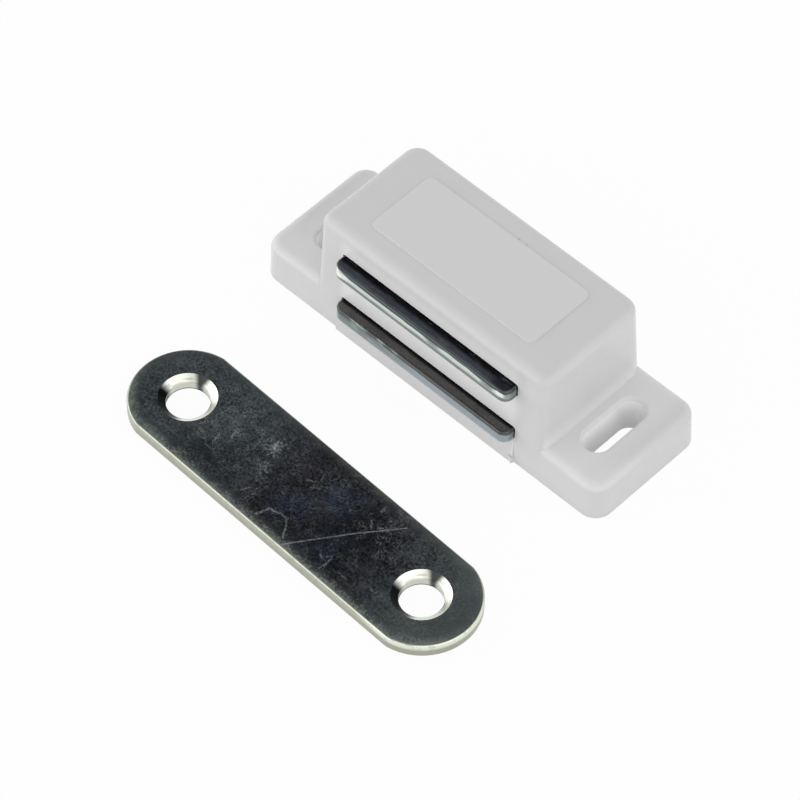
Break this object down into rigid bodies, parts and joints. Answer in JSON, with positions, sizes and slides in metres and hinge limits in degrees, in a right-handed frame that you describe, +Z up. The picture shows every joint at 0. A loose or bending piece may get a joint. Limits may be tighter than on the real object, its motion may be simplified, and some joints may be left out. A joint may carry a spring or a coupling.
{
  "type": "magnetic catch",
  "caption": "Magnetic cupboard catch: a light grey moulded housing with slotted ears, steel pole plates standing out of its front, and a loose countersunk strike plate.",
  "frame": {"origin": "centre of the housing's mounting face, which lies in z = 0", "axes": "+Z up off the mounting face, +X along the housing from ear to ear, -Y the way the pole faces point"},
  "size_m": [0.0463, 0.0396, 0.0148],
  "materials": {
    "housing_plastic": "light grey glossy moulding with a matt panel on top",
    "ferrite": "dark sintered ferrite",
    "pole_steel": "zinc-plated steel",
    "strike_steel": "zinc-plated steel, mottled and scratched"
  },
  "bodies": {
    "catch": {"housing": "housing_plastic", "strike_plate": "strike_steel"},
    "magnet_pack": {"magnet": "ferrite", "lower_pole_plate": "pole_steel", "upper_pole_plate": "pole_steel"}
  },
  "joints": [
    {"name": "pack_float", "type": "slide", "parent": "catch", "child": "magnet_pack", "axis": [0, 1, 0], "range_m": [0, 0.0005]}
  ]
}
